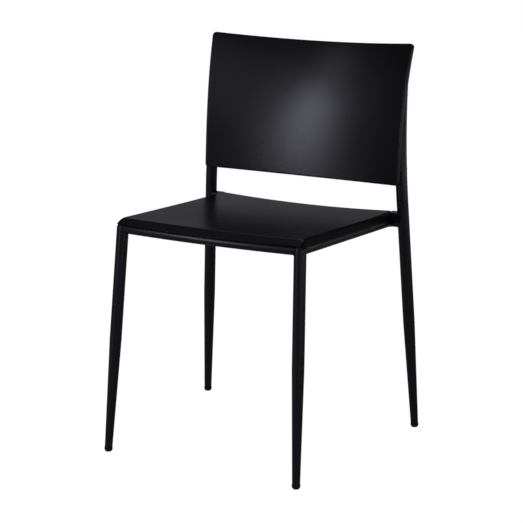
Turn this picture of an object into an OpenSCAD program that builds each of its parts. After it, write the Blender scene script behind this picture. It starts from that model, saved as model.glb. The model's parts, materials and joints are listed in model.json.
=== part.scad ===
// Four-legged chair: a welded tube frame that carries a moulded seat and a moulded back.
// The chair faces -Y, +Z is up, and left means the -X side. The floor is at zero.

/* [Frame] */
// Distance between the axes of the two side rails
frame_w = 398; // [370:1:430]
// Distance from the front rail's axis at the legs to the rear rail's axis
frame_depth = 383; // [350:1:420]
// How far the front rail bows forward at its middle
rail_bow = 10; // [4:1:16]
// Outer diameter of the four seat rails
rail_d = 20; // [18:0.5:22]
// Wall of the seat rails
rail_wall = 1.5; // [1:0.1:2.5]

/* [Legs] */
// Outer diameter of the legs and uprights
leg_d = 24; // [22:0.5:27]
// Wall of the legs and uprights
leg_wall = 2; // [1.2:0.1:2.5]
// Outer diameter of a leg at its foot
foot_d = 15.6; // [13:0.2:19]
// Height where the taper ends and the leg has its full diameter
taper_h = 228; // [150:1:300]
// How far a front foot stands outside the rail corner
front_splay = 16.5; // [5:1:30]
// How far a front foot stands in front of the rail corner
front_rake = 42; // [20:1:60]
// Distance from a side rail's axis out to the rear leg's axis
rear_offset = 30.8; // [29:0.2:36]
// How far a rear foot stands outside the leg's place at the rear rail
rear_splay = 24.5; // [10:0.5:40]
// How far a rear foot stands behind the leg's place at the rear rail
rear_rake = 21; // [5:1:40]
// Chamfer at the joint between a rear leg and its upright
joint_chamfer = 0.6; // [0.3:0.1:1]
// Length of the sleeve inside that joint
sleeve_l = 42; // [30:1:50]
// How far the sleeve reaches up over the joint
sleeve_rise = 10; // [6:1:10]
// Wall of the sleeve
sleeve_wall = 2; // [1:0.1:3]

/* [Uprights] */
// Height of the leg joint over the front edge of the seat
joint_rise = 8; // [4:0.5:14]
// Distance from the back's upper corners down to the uprights' ends
upright_drop = 74.1; // [64:0.1:100]
// How far the uprights' ends lie inside the back's upper corners
upright_inset = 26.6; // [22:0.1:38]
// How far the uprights' ends lie behind the line of the rear legs
upright_lean = 41.6; // [34:0.1:48]
// Thickness of the plug that shows at an upright's end
plug_t = 3; // [2:0.5:6]
// Length of the plug's shank inside the tube
plug_shank_l = 12; // [8:1:20]

/* [Seat] */
// Height of the seat's front edge over the floor
seat_h = 473.2; // [430:0.2:500]
// How much lower the seat's rear edge lies
seat_rake = 12.8; // [6:0.2:18]
// Depth of the dish across the seat's rear edge
seat_dish = 5.8; // [2:0.2:8]
// Thickness of the seat plate
seat_t = 5.5; // [4:0.5:7]
// Gap between a front leg's rounded top and the seat plate
leg_top_gap = 2.8; // [1:0.1:4]
// How far the seat's top edge lies outside the side rails' axes
seat_edge_out = 1.5; // [0:0.1:3]
// Width of the front border's slope
front_border_w = 15.3; // [12:0.1:18]
// Width of the rear border's slope
rear_border_w = 17.5; // [15:0.1:20]
// Height of the front border
front_border_h = 11.8; // [10:0.1:13]
// Height of the side border at the front
side_border_h = 17; // [14:0.1:18]
// Height of the side border at the back
side_border_rear_h = 18.8; // [16:0.1:20]
// Height of the rear border
rear_border_h = 18; // [15:0.1:20]
// Thickness of the border at its lip
lip_t = 2.8; // [2:0.1:3]
// Radius of the seat's corners at the top edge
seat_corner_r = 6; // [4:0.5:10]
// Radius of the seat's corners at the lip
lip_corner_r = 8; // [6:0.5:12]

/* [Back] */
// Gap in height between the seat's front edge and the back's lower corners
lumbar_gap = 44.5; // [38:0.5:52]
// Height of the back panel at its corners
back_h = 282.5; // [240:0.5:320]
// Width across the back's top corners
back_top_w = 470; // [440:1:500]
// How far the sides draw in between the lower and the upper corners
back_waist = 1.6; // [0:0.1:4]
// Thickness of the back panel
back_t = 8; // [6:0.5:9]
// How far the middle of the lower edge lies behind its corners
back_bow_low = 27; // [15:1:40]
// How far the middle of the upper edge lies behind its corners
back_bow_top = 35; // [20:1:50]
// How far the middle of the lower edge dips under its corners
back_dip_low = 5.1; // [2:0.1:9]
// How far the middle of the upper edge dips under its corners
back_dip_top = 10.4; // [4:0.2:14]
// Lean of the side edge over its lower third
back_lean_low = 4.8; // [2:0.2:10]
// Lean of the side edge over its upper third
back_lean_mid = 14.6; // [8:0.2:20]
// Lean of the side edge at the top
back_lean_top = 46; // [38:0.5:54]
// Radius of the back's lower corners
back_corner_low_r = 6; // [5:0.5:12]
// Radius of the back's upper corners
back_corner_top_r = 8; // [6:0.5:14]
// How far the lower corners reach outside the rear legs' axes
back_low_out = 3.2; // [0:0.1:6]
// Least gap between the back and the uprights behind it
back_gap = 0.1; // [0.1:0.1:3]

/* [Fixings] */
// Width of a seat tab along its rail
tab_w = 30; // [24:1:36]
// How far a seat tab reaches in from its rail's axis
tab_reach = 34; // [30:1:40]
// Thickness of a seat tab
tab_t = 3; // [2:0.5:4]
// Distance of the front seat screws behind the front rail
tab_front_y = 70; // [50:1:90]
// Distance of the rear seat screws in front of the rear rail
tab_rear_y = 60; // [45:1:80]
// Diameter of a boss under the seat
boss_d = 15; // [12:0.5:18]
// Diameter of a seat screw
seat_screw_d = 5; // [4:0.5:6]
// Depth of a seat screw in its boss
seat_screw_grip = 9; // [7:0.5:10]
// Diameter of a back screw
back_screw_d = 5; // [4:0.5:6]
// Depth of a back screw in the back panel
back_screw_grip = 5.5; // [4:0.5:5.5]
// Diameter of a screw head
screw_head_d = 9.5; // [8:0.5:11]
// Height of a screw head
screw_head_h = 3; // [2:0.5:4]
// Diameter of a spacer between an upright and the back
spacer_d = 18; // [14:0.5:20]
// Height of the lower spacers over the back's lower corners
spacer_low_rise = 30; // [24:1:45]
// Distance from the uprights' ends down to the upper spacers
spacer_top_drop = 30; // [25:1:40]

/* [Feet] */
// How much wider a glide is than its leg
glide_lip = 0.5; // [0.2:0.1:1]
// Height of the part of a glide that shows
glide_h = 9; // [6:0.5:12]
// Length of the glide's shank in the leg
glide_shank_l = 20; // [14:1:28]
// Chamfer round a glide's sole
glide_chamfer = 1.4; // [0.8:0.2:2]

/* [Hidden] */
$fn = 64;
tube_fn = 64;
arc_fn = 1440;

// Colours of the coated tube, the moulded shells and the small plastic parts
steel_colour = "#1c1c1f";
shell_colour = "#26262a";
small_colour = "#111113";

// Clearance of the seat's lip round the rails, and of the dished seat over the rear rail
lip_gap = 0.4;
rail_gap = 1.6;
// Clearance of small fitted faces, and under the heads of the back screws
fit_gap = 0.15;
head_gap = 0.3;
saddle_gap = 0.05;
notch_gap = 0.5;
// How far a cutting solid runs past what it cuts
overrun = 2;

leg_r = leg_d / 2;
rail_r = rail_d / 2;
sleeve_r = leg_r - leg_wall - fit_gap;
foot_r = foot_d / 2;
half_w = frame_w / 2;
front_y = -frame_depth / 2;
rear_y = frame_depth / 2;
rear_x = half_w + rear_offset;
front_rail_h = seat_h - seat_t - leg_top_gap - leg_r;
rear_rail_h = seat_h - seat_rake - seat_dish - seat_t - rail_r - rail_gap;
joint_h = seat_h + joint_rise;
back_low_h = seat_h + lumbar_gap;

function lerp(a, b, t) = a + (b - a) * t;
function clamp01(t) = max(0, min(1, t));
function unit(v) = v / norm(v);

// Points on the axes of the right-hand legs at a height
function front_axis(z) = let (s = 1 - z / front_rail_h)
    [half_w + front_splay * s, front_y - front_rake * s, z];
function rear_axis(z) = let (s = 1 - z / rear_rail_h)
    [rear_x + rear_splay * s, rear_y + rear_rake * s, z];
function side_rail_h(y) = lerp(front_rail_h, rear_rail_h, (y - front_y) / frame_depth);

// The form of the back's middle surface: u runs from -1 to 1 across it and t from 0 to 1 up it
back_low_x = rear_axis(back_low_h)[0] + back_low_out;
step_share = 0.01;
function bezier(p, t) = p[0] * pow(1 - t, 3) + 3 * p[1] * t * pow(1 - t, 2)
    + 3 * p[2] * t * t * (1 - t) + p[3] * pow(t, 3);
function back_half(t) = lerp(back_low_x, back_top_w / 2, t) - 4 * back_waist * t * (1 - t);
function back_lean(t) = bezier([0, back_lean_low, back_lean_mid, back_lean_top], t);
function back_bow(t) = lerp(back_bow_low, back_bow_top, t);
function back_dip(t) = lerp(back_dip_low, back_dip_top, t);
function back_form(u, t) = let (c = 1 - u * u)
    [u * back_half(t), back_lean(t) + back_bow(t) * c, back_low_h + back_h * t - back_dip(t) * c];
// Unit normal of that surface, pointing to the rear
function back_normal(u, t) = unit(cross(
    back_form(u, t + step_share) - back_form(u, t - step_share),
    back_form(u + step_share, t) - back_form(u - step_share, t)));
// The share t at which the surface passes through a place given by x and z
function back_share(x, z) = let (t = (z - back_low_h) / back_h, u = x / back_half(t))
    (z + back_dip(t) * (1 - u * u) - back_low_h) / back_h;

// The right upright is an arc that leaves the joint in line with the leg and bends to the rear
end_h = back_low_h + back_h - upright_drop;
upright_end = [back_top_w / 2 - upright_inset, rear_axis(end_h)[1] + upright_lean, end_h];
joint_point = rear_axis(joint_h);
leg_dir = unit(joint_point - rear_axis(0));
reach_up = (upright_end - joint_point) * leg_dir;
reach_side = norm(upright_end - joint_point - leg_dir * reach_up);
side_dir = (upright_end - joint_point - leg_dir * reach_up) / reach_side;
bend_r = (reach_up * reach_up + reach_side * reach_side) / (2 * reach_side);
bend_angle = 2 * atan2(reach_side, reach_up);
bend_centre = joint_point + side_dir * bend_r;
top_dir = leg_dir * cos(bend_angle) + side_dir * sin(bend_angle);
// Point on the upright's axis near a height, and the axis's direction there
function bend_at(z) = bend_angle * (z - joint_h) / (end_h - joint_h);
function upright_axis(z) = let (a = bend_at(z))
    bend_centre + (leg_dir * sin(a) - side_dir * cos(a)) * bend_r;
function upright_dir(z) = let (a = bend_at(z)) leg_dir * cos(a) + side_dir * sin(a);

// The back is set against the uprights, so that the named gap is left where they come nearest
gap_steps = 24;
function back_place_y(a) = let (t = back_share(a[0], a[2]), u = a[0] / back_half(t))
    a[1] - back_form(u, t)[1] - (leg_r + back_t / 2 + back_gap) / back_normal(u, t)[1];
back_y = min([for (i = [0:gap_steps]) back_place_y(upright_axis(lerp(back_low_h, end_h, i / gap_steps)))]);
function back_point(u, t) = back_form(u, t) + [0, back_y, 0];

// Places of the back screws, as [point on the upright's axis, direction to the rear]
function back_fix(z) = let (a = upright_axis(z), t = back_share(a[0], z), u = a[0] / back_half(t))
    [a, back_normal(u, t), back_point(u, t)];
fix_heights = [back_low_h + spacer_low_rise, end_h - spacer_top_drop];

// The whole chair is moved along Y so that the origin is under the middle of its outline
outline_front = front_axis(0)[1] - foot_r - glide_lip;
outline_rear = back_point(0, 1 - back_t / 2 / back_h)[1] + back_t / 2;
module place() { translate([0, -(outline_front + outline_rear) / 2, 0]) children(); }
module both() { children(); mirror([1, 0, 0]) children(); }
module left() { mirror([1, 0, 0]) children(); }

// Turns +Z to the direction from a to b and moves the origin to a
module along(a, b) {
    z = unit(b - a);
    x = unit(cross([0, 1, 0], z));
    y = cross(z, x);
    multmatrix([[x[0], y[0], z[0], a[0]], [x[1], y[1], z[1], a[1]], [x[2], y[2], z[2], a[2]]])
        children();
}

// Outline of a leg against its axis: a cone from the foot, a straight tube, and a square or round end
arc_steps = 8;
function leg_side(start, taper, length, inset, dome) = concat(
    [[0, start], [foot_r - inset, start], [leg_r - inset, taper]],
    dome ? [for (i = [0:arc_steps]) let (a = 90 * i / arc_steps)
        [(leg_r - inset) * cos(a), length + (leg_r - inset) * sin(a)]]
    : [[leg_r - inset, length], [0, length]]);
module leg_solid(start, taper, length, inset, dome) {
    rotate_extrude() polygon(leg_side(start, taper, length, inset, dome));
}

front_len = norm(front_axis(front_rail_h) - front_axis(0));
front_taper = front_len * taper_h / front_rail_h;
module front_leg_outer() {
    along(front_axis(0), front_axis(front_rail_h))
        leg_solid(glide_h, front_taper, front_len, 0, true);
}
module front_leg_inner() {
    along(front_axis(0), front_axis(front_rail_h))
        leg_solid(glide_h - overrun, front_taper, front_len, leg_wall, true);
}
module front_leg() {
    color(steel_colour) place() difference() {
        front_leg_outer();
        front_leg_inner();
    }
}
module front_leg_left() { left() front_leg(); }
module front_leg_right() { front_leg(); }

rear_len = norm(joint_point - rear_axis(0));
rear_taper = rear_len * taper_h / joint_h;
module rear_leg_outer() {
    along(rear_axis(0), joint_point) rotate_extrude() polygon([[0, glide_h], [foot_r, glide_h],
        [leg_r, rear_taper], [leg_r, rear_len - joint_chamfer], [leg_r - joint_chamfer, rear_len],
        [0, rear_len]]);
}
module rear_leg() {
    color(steel_colour) place() difference() {
        rear_leg_outer();
        along(rear_axis(0), joint_point) leg_solid(glide_h - overrun, rear_taper,
            rear_len + overrun, leg_wall, false);
    }
}
module rear_leg_left() { left() rear_leg(); }
module rear_leg_right() { rear_leg(); }

// An upright's arc with a radius r, run past both ends by e
module upright_run(r, e) {
    x = -side_dir;
    z = cross(x, leg_dir);
    past = asin(e / bend_r);
    multmatrix([[x[0], leg_dir[0], z[0], bend_centre[0]], [x[1], leg_dir[1], z[1], bend_centre[1]],
        [x[2], leg_dir[2], z[2], bend_centre[2]]])
        rotate([0, 0, -past]) rotate_extrude(angle = bend_angle + 2 * past, $fn = arc_fn)
            translate([bend_r, 0]) circle(r = r, $fn = tube_fn);
}
module joint_ring() {
    along(joint_point, joint_point + leg_dir) rotate_extrude() polygon([[leg_r - joint_chamfer, -overrun],
        [leg_r + overrun, -overrun], [leg_r + overrun, joint_chamfer + overrun],
        [leg_r - joint_chamfer, 0]]);
}
module screw_bores(r) {
    for (z = fix_heights) {
        f = back_fix(z);
        along(f[0] - f[1] * leg_d, f[0] + f[1] * leg_d) cylinder(r = r, h = 2 * leg_d);
    }
}
module upright() {
    color(steel_colour) place() difference() {
        upright_run(leg_r, 0);
        upright_run(leg_r - leg_wall, overrun);
        joint_ring();
        screw_bores(back_screw_d / 2 + fit_gap);
    }
}
module upright_left() { left() upright(); }
module upright_right() { upright(); }

// The sleeve sits mostly in the leg, where the tube is straight
module leg_sleeve() {
    color(steel_colour) place() along(joint_point, joint_point + leg_dir)
        translate([0, 0, sleeve_rise - sleeve_l]) difference() {
            cylinder(r = sleeve_r, h = sleeve_l);
            translate([0, 0, -overrun]) cylinder(r = sleeve_r - sleeve_wall, h = sleeve_l + 2 * overrun);
        }
}
module leg_sleeve_left() { left() leg_sleeve(); }
module leg_sleeve_right() { leg_sleeve(); }

module upright_plug() {
    color(small_colour) place() along(upright_end, upright_end + top_dir) {
        cylinder(r1 = leg_r, r2 = leg_r - plug_t / 2, h = plug_t);
        translate([0, 0, -plug_shank_l]) cylinder(r = sleeve_r, h = plug_shank_l);
    }
}
module upright_plug_left() { left() upright_plug(); }
module upright_plug_right() { upright_plug(); }

// The front rail is an arc between the front legs
rail_arc_r = (half_w * half_w + rail_bow * rail_bow) / (2 * rail_bow);
rail_arc_angle = 2 * asin(half_w / rail_arc_r);
module front_rail_run(r) {
    translate([0, front_y - rail_bow + rail_arc_r, front_rail_h])
        rotate([0, 0, 270 - rail_arc_angle / 2])
            rotate_extrude(angle = rail_arc_angle, $fn = arc_fn)
                translate([rail_arc_r, 0]) circle(r = r, $fn = tube_fn);
}
module front_rail() {
    color(steel_colour) place() difference() {
        front_rail_run(rail_r);
        front_rail_run(rail_r - rail_wall);
        both() front_leg_outer();
    }
}

module rear_rail_run(r) {
    translate([-rear_x, rear_y, rear_rail_h]) rotate([0, 90, 0]) cylinder(r = r, h = 2 * rear_x);
}
module rear_rail() {
    color(steel_colour) place() difference() {
        rear_rail_run(rail_r);
        rear_rail_run(rail_r - rail_wall);
        both() rear_leg_outer();
    }
}

// A side rail stops short of the rear rail's axis, so that its coped end has no sharp tips
rail_tip = 3;
module side_rail_run(r) {
    a = [half_w, front_y, front_rail_h];
    b = [half_w, rear_y, rear_rail_h];
    along(a, b) cylinder(r = r, h = norm(b - a) - rail_tip);
}
module side_rail() {
    color(steel_colour) place() difference() {
        side_rail_run(rail_r);
        side_rail_run(rail_r - rail_wall);
        front_leg_outer();
        front_rail_run(rail_r);
        rear_rail_run(rail_r);
    }
}
module side_rail_left() { left() side_rail(); }
module side_rail_right() { side_rail(); }

// Block round the rear rail's end that closes the corner between the seat and the rear leg
gusset_x = half_w + seat_edge_out;
gusset_drop = 1.6;
gusset_wall = 0.6;
gusset_half_t = rail_r + gusset_wall;
gusset_top = seat_h - seat_rake - gusset_drop;
gusset_low_share = 0.667;
gusset_low = rear_rail_h - rail_r * gusset_low_share;
gusset_top_r = 3;
gusset_low_r = 6;
gusset_leg_x = rear_axis(gusset_low)[0] - leg_r;
// The block's outer side runs up the leg's axis
gusset_ends = [for (z = [gusset_low - gusset_low_r, gusset_top + gusset_top_r]) [rear_axis(z)[0], z]];
module rear_gusset() {
    color(steel_colour) place() difference() {
        translate([0, rear_y + gusset_half_t, 0]) rotate([90, 0, 0]) linear_extrude(2 * gusset_half_t)
            polygon(concat(
                [[gusset_x, gusset_top], [gusset_x, gusset_low]],
                [for (i = [0:arc_steps]) let (a = 90 * i / arc_steps)
                    [gusset_leg_x - gusset_low_r * (1 - sin(a)), gusset_low - gusset_low_r * (1 - cos(a))]],
                gusset_ends,
                [for (i = [0:arc_steps]) let (a = 90 * i / arc_steps)
                    [gusset_leg_x - gusset_top_r * (1 - cos(a)),
                    gusset_top + gusset_top_r * (1 - sin(a))]]));
        rear_leg_outer();
        rear_rail_run(rail_r);
        side_rail_run(rail_r);
    }
}
module rear_gusset_left() { left() rear_gusset(); }
module rear_gusset_right() { rear_gusset(); }

// A closed outline with round corners, always the same number of points
function run_points(p, q, n) = [for (i = [0:n - 1]) lerp(p, q, i / n)];
function arc_points(c, r, start, n) = [for (i = [0:n - 1]) let (a = start + 90 * i / n)
    c + r * [cos(a), sin(a)]];
function round_rect(w, y0, y1, r0, r1, nx, ny, nc) = concat(
    run_points([r0 - w, y0], [w - r0, y0], nx),
    arc_points([w - r0, y0 + r0], r0, -90, nc),
    run_points([w, y0 + r0], [w, y1 - r1], ny),
    arc_points([w - r1, y1 - r1], r1, 0, nc),
    run_points([w - r1, y1], [r1 - w, y1], nx),
    arc_points([r1 - w, y1 - r1], r1, 90, nc),
    run_points([-w, y1 - r1], [-w, y0 + r0], ny),
    arc_points([r0 - w, y0 + r0], r0, 180, nc));

// A closed solid through rings of equal length, with a middle point at each end
module skin(rings, first, last) {
    n = len(rings[0]);
    m = len(rings);
    points = concat([for (ring = rings) each ring], [first, last]);
    polyhedron(points, concat(
        [for (i = [0:m - 2]) for (j = [0:n - 1]) [i * n + j, i * n + (j + 1) % n, (i + 1) * n + j]],
        [for (i = [0:m - 2]) for (j = [0:n - 1])
            [i * n + (j + 1) % n, (i + 1) * n + (j + 1) % n, (i + 1) * n + j]],
        [for (j = [0:n - 1]) [m * n, (j + 1) % n, j]],
        [for (j = [0:n - 1]) [m * n + 1, (m - 1) * n + j, (m - 1) * n + (j + 1) % n]]));
}

// Seat outlines at the top edge and at the lip
edge_x = half_w + seat_edge_out;
lip_x = half_w + rail_r + lip_gap + lip_t;
lip_front = front_y - rail_r - lip_gap;
lip_rear = rear_y + rail_r + rail_gap + 2 * lip_t;
edge_front = lip_front + front_border_w;
edge_rear = lip_rear - rear_border_w;
seat_mid = (edge_front + edge_rear) / 2;
seat_runs = [20, 16, 5];
// Rounding of the slope: how far out and how far down it is, as shares of the border
slope_out_shares = [0.33, 0.67];
slope_down_shares = [0.19, 0.47];
under_drop_shares = [0.6, 0.15];
seat_ring_shares = [0.08, 0.25, 0.45, 0.65, 0.82, 0.94];
// The seat falls steadily from the front and levels out at the rear
rake_start_share = 1.25;
level_power = 5;

function seat_depth_share(y) = clamp01((y - edge_front) / (edge_rear - edge_front));
function seat_z(x, y) = let (s = seat_depth_share(y), u = min(1, abs(x) / edge_x))
    seat_h - seat_rake * (rake_start_share * s - (rake_start_share - 1) * pow(s, level_power))
    - seat_dish * s * s * (3 - 2 * s) * (1 - u * u);
// The outline's front follows the front rail's bow
function bowed(p) = [p[0], p[1] - rail_bow * max(0, 1 - pow(p[0] / half_w, 2))
    * pow(clamp01(p[1] / front_y), 2)];
function seat_outline(s, inset) = round_rect(lerp(edge_x, lip_x, s) - inset,
    lerp(edge_front, lip_front, s) + inset, lerp(edge_rear, lip_rear, s) - inset,
    lerp(seat_corner_r, lip_corner_r, s) - inset, lerp(seat_corner_r, lip_corner_r, s) - inset,
    seat_runs[0], seat_runs[1], seat_runs[2]);
function border_h(p) = let (f = clamp01((edge_front - p[1]) / (edge_front - lip_front)),
    r = clamp01((p[1] - edge_rear) / (lip_rear - edge_rear)))
    lerp(lerp(lerp(side_border_h, side_border_rear_h, seat_depth_share(p[1])), front_border_h, f),
        rear_border_h, r);
// One ring of the border: out is its place along the slope, down its share of the border's height
function border_ring(out, down, inset, drop) = [for (p = seat_outline(out, inset))
    let (q = bowed(p)) [q[0], q[1], seat_z(p[0], p[1]) - border_h(p) * down - drop]];
// One ring inside the top edge, drawn in to a share of its size
function plate_ring(share, inset, drop) = [for (p = seat_outline(0, inset))
    let (x = p[0] * share, y = seat_mid + (p[1] - seat_mid) * share, q = bowed([x, y]))
    [q[0], q[1], seat_z(x, y) - drop]];
// One ring of the border's rounded slope, on its outside or its inside
function slope_ring(i, inset, drop) = border_ring(slope_out_shares[i], slope_down_shares[i], inset, drop);
function seat_rings() = concat(
    [for (s = seat_ring_shares) plate_ring(s, 0, 0)],
    [border_ring(0, 0, 0, 0)],
    [for (i = [0:1]) slope_ring(i, 0, 0)],
    [border_ring(1, 1, 0, 0), border_ring(1, 1, lip_t, 0)],
    [for (i = [1:-1:0]) slope_ring(i, lip_t, lip_t * under_drop_shares[i])],
    [border_ring(0, 0, lip_t / 2, seat_t)],
    [for (i = [len(seat_ring_shares) - 1:-1:0]) plate_ring(seat_ring_shares[i], lip_t / 2, seat_t)]);

tab_x = half_w - tab_reach + boss_d / 2;
tab_ys = [front_y + tab_front_y, rear_y - tab_rear_y];
function tab_top(y) = side_rail_h(y) + tab_t / 2;
module seat_bosses() {
    both() for (y = tab_ys) translate([tab_x, y, tab_top(y)])
        cylinder(d = boss_d, h = seat_z(tab_x, y) - seat_t / 2 - tab_top(y));
}
module seat_shell() {
    color(shell_colour) place() difference() {
        union() {
            skin(seat_rings(), [0, bowed([0, seat_mid])[1], seat_z(0, seat_mid)],
                [0, bowed([0, seat_mid])[1], seat_z(0, seat_mid) - seat_t]);
            seat_bosses();
        }
        both() for (y = tab_ys) translate([tab_x, y, tab_top(y) - overrun])
            cylinder(d = seat_screw_d, h = seat_screw_grip + overrun);
        both() along(front_axis(front_rail_h - leg_d), front_axis(front_rail_h))
            cylinder(r = leg_r + notch_gap, h = leg_d + leg_r + notch_gap);
        both() translate([gusset_x - notch_gap, rear_y - gusset_half_t - notch_gap, rear_rail_h])
            cube([leg_d, leg_d * 2, leg_d * 2]);
    }
}

module seat_tab(y) {
    color(steel_colour) place() difference() {
        translate([half_w - tab_reach, y - tab_w / 2, side_rail_h(y) - tab_t / 2])
            cube([tab_reach, tab_w, tab_t]);
        side_rail_run(rail_r);
        translate([tab_x, y, side_rail_h(y) - tab_t])
            cylinder(d = seat_screw_d + 2 * fit_gap, h = 2 * tab_t);
    }
}
module seat_tab_front_left() { left() seat_tab(tab_ys[0]); }
module seat_tab_front_right() { seat_tab(tab_ys[0]); }
module seat_tab_rear_left() { left() seat_tab(tab_ys[1]); }
module seat_tab_rear_right() { seat_tab(tab_ys[1]); }

// A screw along +Z, with the underside of its head at zero
module screw(d, l) {
    cylinder(d = d, h = l);
    translate([0, 0, -screw_head_h]) cylinder(d1 = d, d2 = screw_head_d, h = screw_head_h);
}
module seat_screws() {
    color(small_colour) place() both() for (y = tab_ys)
        translate([tab_x, y, tab_top(y) - tab_t]) screw(seat_screw_d, tab_t + seat_screw_grip);
}

// Rings of the back: inset from its outline and offset to the rear, with a half-round edge
back_runs = [20, 14, 5];
back_ring_shares = [0.1, 0.35, 0.6, 0.8, 0.93];
edge_steps = 3;
function back_outline(inset) = round_rect(back_top_w / 2 - inset, inset, back_h - inset,
    back_corner_low_r - inset, back_corner_top_r - inset, back_runs[0], back_runs[1], back_runs[2]);
function back_place(p, offset) = let (u = p[0] / (back_top_w / 2), t = p[1] / back_h)
    back_point(u, t) + back_normal(u, t) * offset;
function back_face_ring(share, offset) = [for (p = back_outline(back_t / 2))
    back_place([p[0] * share, back_h / 2 + (p[1] - back_h / 2) * share], offset)];
function back_edge_ring(a) = [for (p = back_outline(back_t / 2 * (1 - cos(a))))
    back_place(p, back_t / 2 * sin(a))];
function back_rings() = concat(
    [for (s = back_ring_shares) back_face_ring(s, -back_t / 2)],
    [for (i = [-edge_steps:edge_steps]) back_edge_ring(90 * i / edge_steps)],
    [for (i = [len(back_ring_shares) - 1:-1:0]) back_face_ring(back_ring_shares[i], back_t / 2)]);
// Distance from an upright's axis to the rear face of the back at a fixing
function face_reach(f) = (f[0] - f[2]) * f[1] - back_t / 2;
module back_screw_run(f) {
    along(f[0] + f[1] * (leg_r + head_gap), f[0])
        screw(back_screw_d, leg_r + head_gap + face_reach(f) + back_screw_grip);
}
module back_shell() {
    middle = [0, back_h / 2];
    color(shell_colour) place() difference() {
        skin(back_rings(), back_place(middle, -back_t / 2), back_place(middle, back_t / 2));
        both() for (z = fix_heights) back_screw_run(back_fix(z));
    }
}

// A spacer runs from the rear face of the back to the upright, and fits round its tube
module back_spacers() {
    color(small_colour) place() both() for (z = fix_heights) {
        f = back_fix(z);
        axis = upright_dir(z) * spacer_d;
        difference() {
            along(f[0] - f[1] * (face_reach(f) - fit_gap), f[0])
                cylinder(d = spacer_d, h = face_reach(f) - fit_gap);
            along(f[0] - axis, f[0] + axis) cylinder(r = leg_r + saddle_gap, h = 2 * spacer_d);
            along(f[0] - f[1] * leg_d, f[0] + f[1] * leg_d)
                cylinder(d = back_screw_d + 2 * fit_gap, h = 2 * leg_d);
        }
    }
}
module back_screws() {
    color(small_colour) place() both() for (z = fix_heights) back_screw_run(back_fix(z));
}

// A glide: a chamfered foot cut level with the floor, and a shank up the leg
glide_r = foot_r + glide_lip;
module glide(a, b) {
    color(small_colour) place() difference() {
        along(a, b) {
            rotate_extrude() polygon([[0, -overrun], [glide_r - glide_chamfer - overrun, -overrun],
                [glide_r, glide_chamfer + overrun], [glide_r, glide_h - glide_lip],
                [glide_r - glide_lip, glide_h], [0, glide_h]]);
            cylinder(r = foot_r - leg_wall, h = glide_h + glide_shank_l);
        }
        translate([a[0], a[1], -foot_d]) cube([2 * foot_d, 2 * foot_d, 2 * foot_d], center = true);
    }
}
module glide_front_left() { left() glide(front_axis(0), front_axis(front_rail_h)); }
module glide_front_right() { glide(front_axis(0), front_axis(front_rail_h)); }
module glide_rear_left() { left() glide(rear_axis(0), joint_point); }
module glide_rear_right() { glide(rear_axis(0), joint_point); }

front_leg_left();
front_leg_right();
rear_leg_left();
rear_leg_right();
upright_left();
upright_right();
leg_sleeve_left();
leg_sleeve_right();
front_rail();
rear_rail();
side_rail_left();
side_rail_right();
rear_gusset_left();
rear_gusset_right();
seat_tab_front_left();
seat_tab_front_right();
seat_tab_rear_left();
seat_tab_rear_right();
seat_shell();
seat_screws();
back_shell();
back_spacers();
back_screws();
upright_plug_left();
upright_plug_right();
glide_front_left();
glide_front_right();
glide_rear_left();
glide_rear_right();
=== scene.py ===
# %% [markdown]
# # A black four-leg chair
# The chair is a welded frame of black coated tube with two plastic mouldings on it: a thin seat
# and a curved back. Every hard part was measured and built first as an exact solid, in metres,
# with the floor at zero, the chair facing -Y and the origin under its middle. This lesson loads
# those solids, gives each of them a finish, and models the parts whose soft edges the solids
# don't have. A reader who is new to Blender can run the cells one after another.

import json
import math

import bmesh
import bpy
from mathutils import Matrix, Vector


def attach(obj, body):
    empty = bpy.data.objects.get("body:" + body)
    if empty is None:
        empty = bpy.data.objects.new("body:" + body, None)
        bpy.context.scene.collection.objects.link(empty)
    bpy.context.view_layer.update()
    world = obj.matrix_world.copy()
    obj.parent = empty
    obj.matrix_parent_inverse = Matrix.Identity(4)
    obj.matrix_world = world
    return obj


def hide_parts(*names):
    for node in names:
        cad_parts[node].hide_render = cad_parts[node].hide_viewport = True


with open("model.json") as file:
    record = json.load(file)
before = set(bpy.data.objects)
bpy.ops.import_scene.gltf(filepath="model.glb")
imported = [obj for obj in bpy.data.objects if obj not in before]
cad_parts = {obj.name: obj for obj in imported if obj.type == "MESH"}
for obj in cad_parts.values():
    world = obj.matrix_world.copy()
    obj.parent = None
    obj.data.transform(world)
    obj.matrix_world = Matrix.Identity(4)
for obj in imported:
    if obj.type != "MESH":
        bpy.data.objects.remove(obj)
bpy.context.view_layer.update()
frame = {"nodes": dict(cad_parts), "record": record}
for plain in list(bpy.data.materials):
    bpy.data.materials.remove(plain)

# %% [markdown]
# ## Sizes
# The mouldings below are drawn from the same sizes as the solids, in millimetres, because the
# solids' own drawing can't be read from here. Each size gets a name once, so that a formula
# reads as a sentence and a change is made in one place.

# %% The frame's sizes
MM = 0.001
half_w, half_d = 199.0, 191.5  # from the frame's middle out to the axes of the seat rails
rail_r, leg_r, rail_bow = 10.0, 12.0, 10.0  # the front rail bows forward by rail_bow
front_splay, front_rake = 16.5, 42  # how far a front foot stands out and forward
rear_offset, rear_splay, rear_rake = 30.8, 24.5, 21  # the same for a rear leg and its foot
seat_h, seat_rake, seat_dish, seat_t = 473.2, 12.8, 5.8, 5.5
leg_top_gap, rail_gap = 2.8, 1.6  # clear of the plate: a front leg's top, the rear rail
front_rail_h = seat_h - seat_t - leg_top_gap - leg_r
rear_rail_h = seat_h - seat_rake - seat_dish - seat_t - rail_r - rail_gap
rear_x = half_w + rear_offset
print("rails:", round(front_rail_h, 2), "mm high in front,", round(rear_rail_h, 2), "mm behind")

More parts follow.
